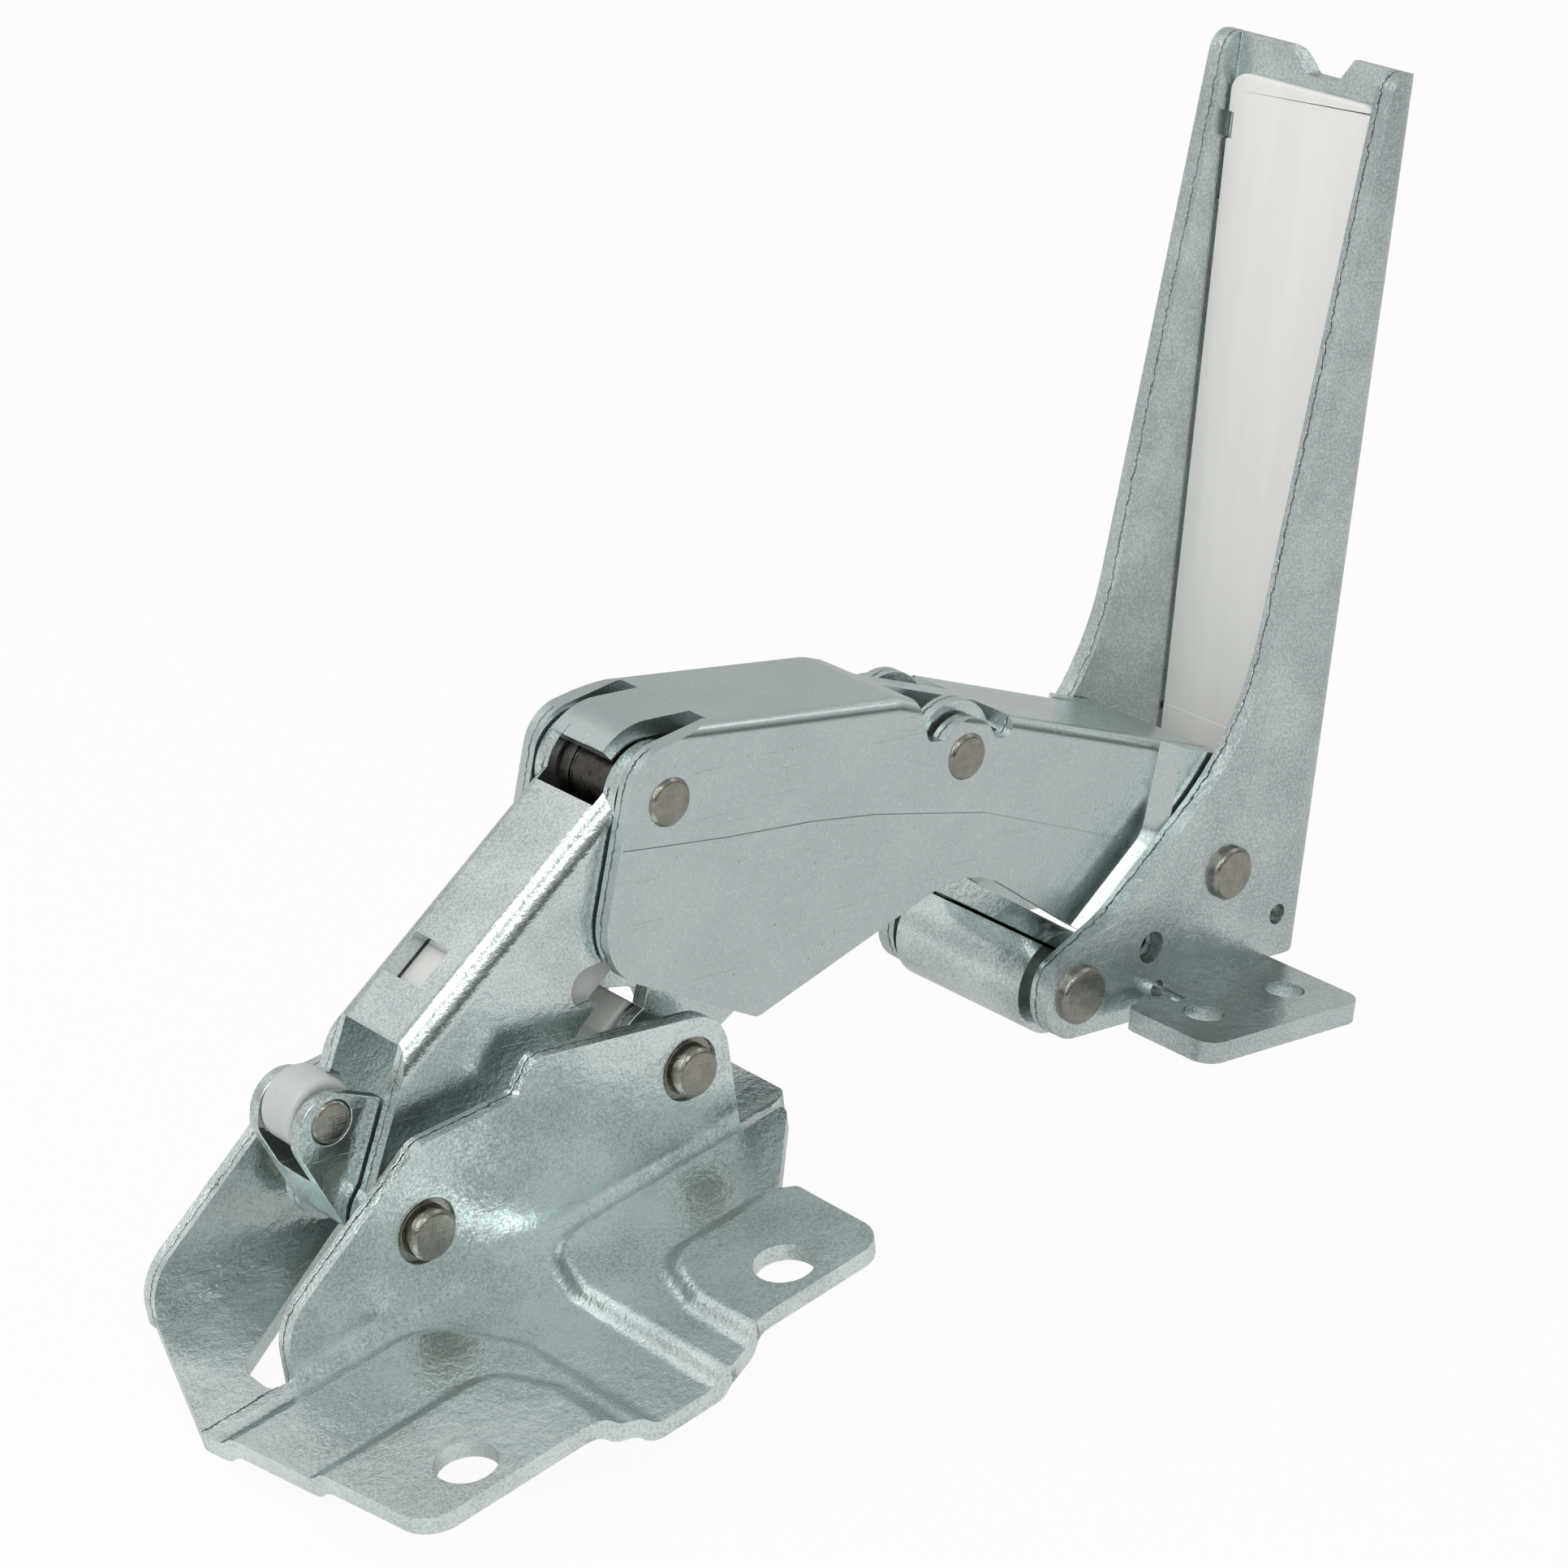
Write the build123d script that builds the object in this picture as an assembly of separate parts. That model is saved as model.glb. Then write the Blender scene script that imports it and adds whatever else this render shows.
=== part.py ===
from build123d import *
from math import asin, cos, degrees, radians, sin, tan
import os

# Concealed folding hinge for the door of a built-in appliance, drawn open. Sizes are millimetres.
# X runs along the mounting tab towards the back of the bracket, Y across the hinge with the tab
# and the door plate's wings on the -Y side, and Z up the bracket. Everything is drawn in a side
# view (x, z) beside the bracket's main pivot, then moved so that the origin lies between the two
# tab holes on the tab's underside.

# Pivot axes in the side view; all of them run across the hinge
main_pivot = (-0.9, 0.4)
link_pivot = (-18.85, -7.75)
lever_pivot = (-32.4, 15.5)
elbow_pivot = (-66.0, 17.3)
door_front_pivot = (-89.25, -13.85)
door_rear_pivot = (-62.8, -5.95)
roller_pivot = (-95.2, -5.25)
inner_pivot = (-50.0, 10.5)

# Pin radii, and the running clearance of a pin in the piece that turns on it
main_pin_radius = 2.5
link_pin_radius = 2.7
arm_pin_radius = 2.1
door_pin_radius = 2.2
door_shoulder_radius = 2.85
roller_pin_radius = 1.9
inner_pin_radius = 1.6
running_clearance = 0.05
pin_chamfer = 0.3

# Sheet thicknesses
bracket_sheet = 2.0
arm_sheet = 1.5
lower_sheet = 1.5
lever_sheet = 1.5
plate_sheet = 1.5
link_sheet = 2.0
yoke_sheet = 1.1

# Gaps left between the sides of nested channels
side_gap = 0.25
wide_side_gap = 0.3
lever_side_gap = 0.45
link_side_gap = 0.35
strap_side_gap = 0.4
eye_side_gap = 0.95
roller_side_gap = 0.15

# Outside widths across the hinge: each channel follows from the lower arm it is nested with
lower_width = 10.0
arm_width = lower_width + 2 * (side_gap + arm_sheet)
ear_inner_width = arm_width + 2 * side_gap
bracket_width = ear_inner_width + 2 * (plate_sheet + side_gap + bracket_sheet)
arm_wide_width = bracket_width - 2 * (bracket_sheet + wide_side_gap)
lever_width = arm_width - 2 * (arm_sheet + lever_side_gap)
link_width = arm_width - 2 * (arm_sheet + link_side_gap)
link_narrow_width = lever_width - 2 * (lever_sheet + strap_side_gap)
link_eye_width = bracket_width - 2 * (bracket_sheet + eye_side_gap)
inside_width = lower_width - 2 * (lower_sheet + side_gap)
roller_width = inside_width - 2 * (yoke_sheet + roller_side_gap)
bend_radius = 1.2
lower_bend_radius = 2.0

# Bracket
bracket_back = 10.9
bracket_front = 7.3
bracket_top = 72.3
bracket_heel = -9.35
bracket_bend_radius = 2.2
lobe_radius = 4.2
window_bottom = 1.0
window_top = 57.0
tab_top = -9.35
tab_reach = 11.65
tab_hole_radius = 1.85
tab_hole_spacing = 10.8
tab_hole_middle = (-3.7, -bracket_width / 2 - 6.15)

# Cover insert
cover_front_top = 8.0
cover_front_bottom = 9.6
cover_low = 8.0
cover_high = 68.9
cover_thickness = 1.0
cover_notch = (1.2, 2.4)
cover_notch_height = 64.0

# Middle arm: half width of the web between the lever's lobes, the hook over the elbow sleeve, and
# a fine pressed line along the near wall
web_strip_half = 1.6
hook_half = lower_width / 2 - lower_sheet - 0.3
line_width = 0.14
line_depth = 0.1

# Lower arm: where its web starts and ends, and the spring and slider under the web
web_start = (-71.3, 16.9)
web_end = (-89.2, 0.3)
sweep_radius = 13.9
slider_gap = 0.4
slider_top_end = 12.0
slider_depth = 6.4
spring_radius = 2.6
spring_wire = 1.1
spring_turns = 5.5
sleeve_radius = 3.2

# Door plate, in its own tilted frame: u along the plate, height above its base
plate_tilt = 15.0
plate_origin = (-86.91, -20.15)
terrace_height = 1.0
step_taper = 45
step_rounding = 1.6
step_foot = 0.3
plate_hole_radius = 2.5
plate_hole_spacing = 32.0
plate_hole_middle = (2.6, -ear_inner_width / 2 - plate_sheet - 19.9)

# Roller between the yoke's walls
roller_radius = 3.15

# Coupling link between the bracket and the inner pivot: where its strap narrows, and its seam
link_narrow_start = 17.0
link_seam = 0.3

# Inner lever: thickness of its back, and the play of the two slots in its walls
back_sheet = 1.3
rear_slot_clearance = 0.7
inner_slot_clearance = 0.25


def outline(*corners):
    """Closed flat shape with straight sides; each corner is (x, y, rounding)."""
    points = [Vector(x, y) for x, y, rounding in corners]
    edges = []
    starts = []
    ends = []
    for i, (x, y, rounding) in enumerate(corners):
        before = (points[i] - points[i - 1]).normalized()
        after = (points[(i + 1) % len(points)] - points[i]).normalized()
        setback = rounding * tan(radians(before.get_angle(after)) / 2)
        starts.append(points[i] - before * setback)
        ends.append(points[i] + after * setback)
        if rounding:
            edges.append(Edge.make_tangent_arc(starts[i], before, ends[i]))
    for i, start in enumerate(starts):
        edges.append(Edge.make_line(ends[i - 1], start))
    return make_face(edges)


def side_plate(shape, low, high):
    """A side-view shape made solid from y = low to y = high."""
    plane = Plane(origin=(0, high, 0), x_dir=(1, 0, 0), z_dir=(0, -1, 0))
    return extrude(plane * shape, high - low, dir=(0, -1, 0))


def both_walls(shape, inner, outer):
    """The same side-view shape as a near and a far wall."""
    near = side_plate(shape, -outer, -inner)
    return near + mirror(near, about=Plane.XZ)


def disc(pivot, radius):
    return Pos(*pivot) * Circle(radius)


def rod(pivot, radius, half_length):
    return side_plate(disc(pivot, radius), -half_length, half_length)


def pin(pivot, radius, half_length):
    """A rivet pin with a small chamfer round both ends."""
    body = rod(pivot, radius, half_length)
    return chamfer(body.edges().filter_by(GeomType.CIRCLE), pin_chamfer)


def between(first, second, radius):
    """Side-view slot shape of one radius from one centre to another."""
    return make_hull(disc(first, radius).edges() + disc(second, radius).edges())


def moved(pivot, dx, dz):
    return (pivot[0] + dx, pivot[1] + dz)


def web_edges(solid, width, path):
    """Edges of the two outer folds that lie on a side-view path."""
    def on_path(edge):
        middle = edge.position_at(0.5)
        if abs(abs(middle.Y) - width / 2) > 0.01:
            return False
        spot = Vertex(middle.X, 0, middle.Z)
        return path.distance_to(spot) < 0.01
    return [edge for edge in solid.edges() if on_path(edge)]


def side_path(*points):
    return Wire(Polyline(*[(x, 0, z) for x, z in points]).edges())


# Bracket: a channel whose walls widen towards the foot, with the tab bent out of the near wall
def bracket():
    half = bracket_width / 2
    inner = half - bracket_sheet
    lobe_left = link_pivot[0] - lobe_radius
    lobe_bottom = link_pivot[1] - lobe_radius
    side = outline(
        (lobe_left, lobe_bottom, lobe_radius),
        (lobe_left, -5.2, 3),
        (-15.6, -1.3, 8),
        (0.1, 13.1, 25),
        (bracket_front, bracket_top, 2),
        (bracket_back, bracket_top, 1.5),
        (bracket_back, bracket_heel, 2),
        (-8.6, bracket_heel, 0),
        (-8.6, lobe_bottom, 0.5),
    )
    depth = bracket_back + 40
    tall = bracket_top + 40
    outside = Pos(bracket_back - depth / 2, 0, tall / 2 - 30) * Box(depth, bracket_width, tall)
    outside = fillet(outside.edges().filter_by(Axis.Z).group_by(Axis.X)[-1], bracket_bend_radius)
    inside = Pos(bracket_back - bracket_sheet - depth / 2, 0, tall / 2 - 30) * Box(depth, 2 * inner, tall)
    inner_bend = bracket_bend_radius - bracket_sheet
    inside = fillet(inside.edges().filter_by(Axis.Z).group_by(Axis.X)[-1], inner_bend)
    body = (outside - inside) & side_plate(side, -half, half)

    window_height = window_top - window_bottom
    window_middle = (window_top + window_bottom) / 2
    body -= Pos(bracket_back, 0, window_middle) * Box(4 * bracket_sheet, 2 * inner, window_height)
    top_notch = outline((-5.2, bracket_top + 1, 0), (-2.9, 70.0, 0.6), (0.7, 70.0, 0.6), (3.7, bracket_top + 1, 0))
    body -= extrude(Plane.YZ.offset(bracket_back - 3) * top_notch, 4)

    plan = outline(
        (-8.6, -inner, 0),
        (-8.6, -half - 1.45, 0.4),
        (-14.3, -half - 1.45, 1.2),
        (-14.3, -half - tab_reach, 2),
        (6.5, -half - tab_reach, 2),
        (6.5, -inner, 0),
    )
    tab = extrude(Plane.XY.offset(tab_top - bracket_sheet) * plan, bracket_sheet)
    tab = fillet(tab.edges().filter_by(Axis.X).group_by(Axis.Y)[-1].group_by(Axis.Z)[0], 1.8)
    body += tab
    body -= Pos(-8.6, -half, tab_top) * Rot(90, 0, 0) * Cylinder(0.8, 3 * bracket_sheet)
    for side_step in (-0.5, 0.5):
        x = tab_hole_middle[0] + side_step * tab_hole_spacing
        body -= Pos(x, tab_hole_middle[1], tab_top) * Cylinder(tab_hole_radius, 3 * bracket_sheet)

    body -= rod(main_pivot, main_pin_radius, half + 1)
    body -= rod(link_pivot, link_pin_radius, half + 1)
    body -= rod((-10.1, -5.1), 1.5, half + 1)
    body -= rod((6.8, -5.2), 1.0, half + 1)
    return body


# Cover insert: a thin plate that snaps in front of the bracket's web and closes its window
def cover_insert():
    slope = (cover_front_bottom - cover_front_top) / (cover_high - cover_low)
    web_face = bracket_back - bracket_sheet
    half = bracket_width / 2 - bracket_sheet - side_gap

    def front(z):
        return cover_front_top + slope * (cover_high - z)

    side = outline(
        (front(cover_low), cover_low, 0.3),
        (front(cover_high), cover_high, 0.3),
        (web_face, cover_high, 0),
        (web_face, window_top - side_gap, 0),
        (front(window_top) + cover_thickness, window_top - side_gap, 0),
        (front(cover_low) + cover_thickness, cover_low, 0.3),
    )
    face = outline(
        (-half, cover_low - 1, 0),
        (half, cover_low - 1, 0),
        (half, cover_high, 1.8),
        (-half, cover_high, 1.8),
    )
    body = side_plate(side, -half, half) & extrude(Plane.YZ * face, bracket_back)
    notch = Pos(web_face, half, cover_notch_height) * Box(2 * bracket_sheet, *cover_notch)
    return body - notch


# Middle arm: a channel over the levers, spread at the bracket's end, hooked over the elbow sleeve
def middle_arm():
    half = arm_width / 2
    inner = half - arm_sheet
    wide = arm_wide_width / 2
    web_left = (-62.0, 23.25)
    web_bend = (-40.6, 21.9)
    web_right = (-0.5, 10.8)
    elbow_x, elbow_z = elbow_pivot
    pivot_x, pivot_z = main_pivot
    side = outline(
        (*web_left, 0),
        (*web_bend, 6),
        (*web_right, 0),
        (pivot_x + 7.2, pivot_z + 5.1, 5),
        (pivot_x + 7.2, pivot_z - 7.2, 7.2),
        (-10.2, -7.0, 4),
        (-30.4, 5.2, 10),
        (-54.0, -3.9, 1.2),
        (elbow_x - 5.9, 3.7, 6),
        (elbow_x - 3.9, elbow_z + 4.2, 3.8),
    )
    hollow = outline(
        (-61.5, 35, 0),
        (-61.5, web_left[1] - arm_sheet, 0),
        (web_bend[0] - 0.2, web_bend[1] - arm_sheet, 6),
        (20, 3.5, 0),
        (20, -30, 0),
        (-90, -30, 0),
        (-90, 35, 0),
    )
    outside = side_plate(side, -half, half)
    folds = web_edges(outside, arm_width, side_path(web_left, web_bend, web_right))
    outside = fillet([edge for edge in folds if edge.length > 10], bend_radius)

    # The walls step outwards to meet the bracket's walls
    def spread(shift, start):
        region = outline(
            (-7.4 + shift, 40, 0),
            (-7.7 + shift, 13.4, 0),
            (-8.8 + shift, 4.2, 3),
            (-19.0 + shift, -5.2, 0),
            (-19.0 + shift, -30, 0),
            (40, -30, 0),
            (40, 40, 0),
        )
        plane = Plane(origin=(0, -start, 0), x_dir=(1, 0, 0), z_dir=(0, -1, 0))
        near = extrude(plane * region, wide - half, taper=40)
        return near + mirror(near, about=Plane.XZ)

    outside += spread(0, half) & side_plate(side, -wide, wide)
    inside = side_plate(hollow, -inner, inner)
    inside += spread(0.8, inner) & side_plate(hollow, -wide, wide)
    body = outside - inside

    # Openings beside the lever pivot, where the lever's lobes pass through the web
    lobe_window = outline((-40.4, 26, 0), (-37.2, 17.6, 0.8), (-27.4, 16.4, 0.8), (-24.8, 26, 0))
    body -= both_walls(lobe_window, web_strip_half, inner)
    body -= both_walls(lobe_window - disc(lever_pivot, 3.4), inner, half + 1)

    # The hook over the elbow sleeve carries on from the web and curls down round the pivot
    hook_outer = web_left[1] - elbow_z - 0.1
    ring = disc(elbow_pivot, hook_outer) - disc(elbow_pivot, hook_outer - arm_sheet)
    sector = outline(
        (elbow_x, elbow_z, 0),
        (elbow_x, elbow_z + 12, 0),
        (elbow_x - 12, elbow_z + 12, 0),
        (elbow_x - 12, elbow_z + 10.5, 0),
    )
    curl = side_plate(ring & sector, -hook_half, hook_half)
    root = outline(
        (elbow_x, elbow_z + hook_outer - arm_sheet, 0),
        (elbow_x, elbow_z + hook_outer, 0),
        (-61.0, web_left[1] - 0.05, 0),
        (-61.0, web_left[1] - arm_sheet, 0),
    )
    body += curl + side_plate(root, -hook_half, hook_half)
    body -= Pos(elbow_x - 4.8, 0.4, elbow_z + 4.4) * Rot(0, 42, 0) * Box(1.6, 2.8, 6)

    pressed_line = Polyline(
        (-70.5, 13.9), (-59.0, 13.1), (-50.0, 12.8), (-42.5, 12.1), (-29.2, 9.9), (-20.3, 7.1), (-11.5, 4.3)
    )
    body -= side_plate(trace(pressed_line, line_width), -half, -half + line_depth)

    body -= rod(main_pivot, main_pin_radius + running_clearance, wide + 1)
    body -= rod(lever_pivot, arm_pin_radius, half + 1)
    body -= rod(elbow_pivot, arm_pin_radius, half + 1)
    return body


def along_web(s, h):
    """Side-view point s down the lower arm's web from its start and h above its outer face."""
    length = Vector(web_end[0] - web_start[0], web_end[1] - web_start[1])
    down = length.normalized()
    return (web_start[0] + s * down.X + h * down.Y, web_start[1] + s * down.Y - h * down.X)


# Lower arm: the narrower channel from the elbow down to the door plate
def lower_arm():
    half = lower_width / 2
    inner = half - lower_sheet
    front_x, front_z = door_front_pivot
    elbow_x, elbow_z = elbow_pivot
    side = outline(
        (*along_web(-3.4, 0), 0),
        (*web_end, 0),
        (front_x - 3.1, front_z + 1.6, 0),
        (front_x, front_z, 0),
        (front_x + 3.2, front_z - 2.1, 0),
        (-74.4, -4.6, 4),
        (-69.6, 1.0, 0.8),
        (-68.6, 4.2, 0.8),
        (elbow_x + 3.9, elbow_z - 2.0, 0),
        (elbow_x, elbow_z, 0),
    )
    hollow = outline(
        (*along_web(0, -lower_sheet), 0),
        (*along_web(0, 8), 0),
        (-50, 40, 0),
        (-50, -40, 0),
        (-110, -40, 0),
        (*along_web(45, -lower_sheet), 0),
    )
    outside = side_plate(side, -half, half)
    folds = web_edges(outside, lower_width, side_path(along_web(-3.4, 0), web_end))
    outside = fillet(folds, lower_bend_radius)
    outside += rod(elbow_pivot, 4.3, half) + rod(door_front_pivot, 3.8, half)
    body = outside - side_plate(hollow, -inner, inner)
    body -= both_walls(between((-71.4, 1.8), (-66.0, 2.6), 1.8), inner - 1, half + 1)

    window_middle = along_web(17.9, 0)
    across = Plane(
        origin=(window_middle[0], 0.9, window_middle[1]),
        x_dir=Vector(web_start[0] - web_end[0], 0, web_start[1] - web_end[1]),
        z_dir=Vector(web_end[1] - web_start[1], 0, web_start[0] - web_end[0]),
    )
    body -= across * Box(4.0, 4.4, 4 * lower_sheet)
    body -= rod(door_front_pivot, sweep_radius, inner - 0.1) & side_plate(
        outline((-95, -8, 0), (-80, -8, 0), (-80, 5, 0), (-95, 5, 0)), -inner, inner
    )
    body -= rod(elbow_pivot, arm_pin_radius + running_clearance, half + 1)
    body -= rod(door_front_pivot, door_pin_radius + running_clearance, half + 1)
    return body


# Slider: the spring-loaded plastic block that the roller pushes back under the web
def slider():
    top = -lower_sheet - slider_gap
    half = inside_width / 2
    block = outline(
        (*along_web(slider_top_end, top), 0.6),
        (*along_web(30, top), 0),
        (*along_web(30, top - slider_depth), 0),
        (*along_web(slider_top_end, top - slider_depth), 0.6),
    )
    body = side_plate(block, -half, half) - rod(door_front_pivot, sweep_radius + side_gap, half + 1)
    start = along_web(slider_top_end - 6.5, spring_height())
    axis = Plane(origin=(start[0], 0, start[1]), z_dir=web_direction())
    guide = extrude(axis * Circle(spring_radius - spring_wire / 2 - 0.35), 7.5)
    return body + guide


def spring_height():
    """Depth of the spring's axis below the lower arm's web."""
    return -lower_sheet - spring_radius - spring_wire / 2 - side_gap


def web_direction():
    return Vector(web_end[0] - web_start[0], 0, web_end[1] - web_start[1]).normalized()


# Closing spring: a coil between the elbow sleeve and the slider
def closing_spring():
    low = spring_seat() + spring_wire / 2
    high = slider_top_end - spring_wire / 2
    start = along_web(low, spring_height())
    plane = Plane(origin=(start[0], 0, start[1]), x_dir=(0, 1, 0), z_dir=web_direction())
    path = plane.location * Helix((high - low) / spring_turns, high - low, spring_radius)
    section = Plane(path @ 0, z_dir=path % 0) * Circle(spring_wire / 2)
    return sweep(section, path=path)


def spring_seat():
    """How far down the web the coil's upper end stands, clear of the elbow sleeve."""
    return -0.75


def elbow_sleeve():
    body = rod(elbow_pivot, sleeve_radius, inside_width / 2)
    groove = rod(elbow_pivot, sleeve_radius, 0.25) - rod(elbow_pivot, sleeve_radius - 0.25, 0.25)
    return body - Pos(0, 1.9, 0) * groove - rod(elbow_pivot, arm_pin_radius, lower_width)


def in_plate(u, h):
    """Side-view point u along the door plate and h above its base."""
    run = cos(radians(plate_tilt))
    rise = sin(radians(plate_tilt))
    return (plate_origin[0] + u * run - h * rise, plate_origin[1] + u * rise + h * run)


def plate_plane(h):
    run = cos(radians(plate_tilt))
    rise = sin(radians(plate_tilt))
    x, z = in_plate(0, h)
    return Plane(origin=(x, 0, z), x_dir=(run, 0, rise), z_dir=(-rise, 0, run))


# Door plate: a stamped plate with two raised wings, and two ears that carry the arm and lever
def door_plate():
    inner = ear_inner_width / 2
    outer = inner + plate_sheet
    # In these plan shapes y is counted outwards from the near ear's outer face
    blank = outline(
        (-16.6, 2 * outer, 1.5),
        (-23.3, 0.6, 1.5),
        (-20.0, -23.6, 3),
        (-4.5, -23.6, 5),
        (0.6, -25.4, 4),
        (8.2, -25.4, 4),
        (12.8, -23.6, 5),
        (26.4, -23.6, 2.8),
        (26.4, -12.9, 0.8),
        (25.0, -11.9, 0.6),
        (34.1, -3.1, 1.5),
        (34.1, -0.7, 0.5),
        (36.8, 0.2, 1.2),
        (36.8, 2 * outer, 1.2),
    )
    front_terrace = outline((-45, -1.6, 0), (-3.4, -1.6, 5.5), (0.4, -10.5, 4), (0.4, -50, 0), (-45, -50, 0))
    back_terrace = outline((60, -0.9, 0), (9.0, -0.9, 6), (6.3, -8.5, 3), (6.3, -50, 0), (60, -50, 0))
    front_wing = outline((-40, -11.5, 0), (-4.6, -11.5, 4), (-2.2, -17.5, 3), (-2.2, -40, 0), (-40, -40, 0))
    back_wing = outline((50, -10.7, 0), (13.0, -10.7, 4.5), (10.6, -17.5, 4), (10.6, -40, 0), (50, -40, 0))

    def stamped(depth):
        """Solid under a face of the stamping that lies the given depth below its top face."""
        body = extrude(plate_plane(-depth - 20) * Rectangle(200, 200), 20)
        inset = depth * tan(radians(step_taper / 2))
        steps = ((front_terrace, 0), (back_terrace, 0), (front_wing, 1), (back_wing, 1))
        for region, step in steps:
            foot = step * terrace_height - depth - step_foot
            widened = offset(region, step_foot * tan(radians(step_taper)) - inset, kind=Kind.INTERSECTION)
            block = plate_plane(foot) * (Pos(0, -outer) * widened)
            body += extrude(block, terrace_height + step_foot, taper=step_taper)
        flats = [step * terrace_height - depth for step in range(3)]
        return fillet([edge for edge in body.edges() if on_level(edge, flats)], step_rounding)

    def on_level(edge, flats):
        """Whether an edge of the stamping lies in one of its flats, the blank's own rim left out."""
        height = plate_plane(0).to_local_coords(edge.position_at(0.5)).Z
        return edge.length < 150 and min(abs(height - flat) for flat in flats) < 0.001

    reach = plate_plane(-5) * (Pos(0, -outer) * blank)
    base = (stamped(0) & extrude(reach, 10)) - stamped(plate_sheet)

    # Both ears have the same back; only their front ends differ
    back_corners = (
        (*in_plate(0.0, 14.4), 2),
        (*in_plate(9.8, 13.7), 1.2),
        (*in_plate(12.1, 16.3), 1.5),
        (*in_plate(31.2, 11.0), 4.2),
        (*in_plate(31.4, -plate_sheet), 0),
    )
    near_ear = outline((*in_plate(-14.8, -plate_sheet), 0.5), (*in_plate(-14.8, 5.2), 5), *back_corners)
    far_ear = outline((*in_plate(-17.0, -plate_sheet), 0.5), (*in_plate(-17.2, 3.4), 5), *back_corners)
    slot = outline(
        (-16.6, -inner - 0.7, 1.0),
        (-16.4, -inner + 3.6, 2.5),
        (-1.0, inner - 1.6, 4),
        (2.0, inner, 1),
        (31.8, inner, 1.5),
        (31.8, -inner, 1.5),
        (-14.8, -inner, 0),
        (-14.8, -inner - 0.7, 0),
    )
    base -= extrude(plate_plane(-5) * slot, 10)
    body = base + side_plate(near_ear, -outer, -inner) + side_plate(far_ear, inner, outer)
    for side_step in (-0.5, 0.5):
        u = plate_hole_middle[0] + side_step * plate_hole_spacing
        body -= plate_plane(0) * Pos(u, plate_hole_middle[1], 0) * Cylinder(plate_hole_radius, 12)
    body -= rod(door_front_pivot, door_shoulder_radius, outer + 1)
    body -= rod(door_rear_pivot, door_shoulder_radius, outer + 1)
    return body


def shoulder_pin(pivot, middle_width):
    """Rivet pin with a thicker shoulder each side that fills the ears' holes."""
    outer = ear_inner_width / 2 + plate_sheet
    body = pin(pivot, door_pin_radius, outer + 1.2)
    return body + both_walls(disc(pivot, door_shoulder_radius), middle_width / 2 + 0.15, outer - 0.4)


# Yoke: a folded strap on the front pin that holds the roller up into the lower arm
def yoke():
    half = inside_width / 2
    inner = half - yoke_sheet
    front_x, front_z = door_front_pivot
    roller_x, roller_z = roller_pivot
    side = outline(
        (roller_x - 3.2, roller_z + 3.6, 3.0),
        (roller_x + 4.9, roller_z + 1.0, 0.8),
        (front_x + 3.4, front_z, 2.5),
        (front_x + 1.0, front_z - 3.6, 2.5),
        (front_x - 4.0, front_z - 0.9, 1.2),
        (roller_x - 3.1, roller_z - 2.0, 2.5),
    )
    under = outline(
        (roller_x - 8, roller_z - 5.4, 0),
        (roller_x + 1.2, roller_z - 5.4, 0),
        (front_x + 1.0, front_z - 2.2, 0),
        (front_x + 1.0, front_z - 9, 0),
        (roller_x - 8, front_z - 9, 0),
    )
    body = side_plate(side, -half, half)
    body -= side_plate(offset(side, -yoke_sheet, kind=Kind.INTERSECTION), -inner, inner)
    body -= side_plate(side - under, -inner, inner)
    return body - rod(door_front_pivot, door_pin_radius, half + 1) - rod(roller_pivot, roller_pin_radius, half + 1)


def roller():
    body = rod(roller_pivot, roller_radius, roller_width / 2)
    body = fillet(body.edges().filter_by(GeomType.CIRCLE), 0.5)
    return body - rod(roller_pivot, roller_pin_radius + running_clearance, roller_width)


# Coupling link: one strap, rolled into an eye at each end
def eye_link():
    eye_radius = link_pin_radius + running_clearance + link_sheet
    small_radius = inner_pin_radius + link_sheet
    start = Vector(*link_pivot)
    stop = Vector(*inner_pivot)
    turn = degrees(asin((eye_radius - small_radius) / (stop - start).length))
    along = (stop - start).normalized().rotate(Axis.Z, turn)
    up = along.rotate(Axis.Z, -90)

    def spot(centre, forward, height):
        place = centre + along * forward + up * height
        return (place.X, place.Y)

    strap = outline(
        (*spot(start, 0, eye_radius), 0),
        (*spot(start, 0, eye_radius - link_sheet), 0),
        (*spot(stop, 0, small_radius - link_sheet), 0),
        (*spot(stop, 0, small_radius), 0),
    )
    seam = outline(
        (*spot(start, 0, eye_radius - link_sheet), 0),
        (*spot(start, 7, eye_radius - link_sheet), 0),
        (*spot(start, 7, eye_radius - link_sheet - link_seam), 0),
        (*spot(start, 0, eye_radius - link_sheet - link_seam), 0),
    )
    eye = disc(link_pivot, eye_radius) - disc(link_pivot, link_pin_radius + running_clearance) - seam
    small_eye = disc(inner_pivot, small_radius) - disc(inner_pivot, inner_pin_radius)
    narrow_from = outline(
        (*spot(start, link_narrow_start, 20), 0),
        (*spot(start, 60, 20), 0),
        (*spot(start, 60, -20), 0),
        (*spot(start, link_narrow_start, -20), 0),
    )
    body = side_plate(strap, -link_width / 2, link_width / 2)
    body -= both_walls(narrow_from, link_narrow_width / 2, link_width)
    body += side_plate(eye, -link_eye_width / 2, link_eye_width / 2)
    body += side_plate(small_eye, -link_narrow_width / 2, link_narrow_width / 2)
    return body - rod(inner_pivot, inner_pin_radius, link_width)


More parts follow.
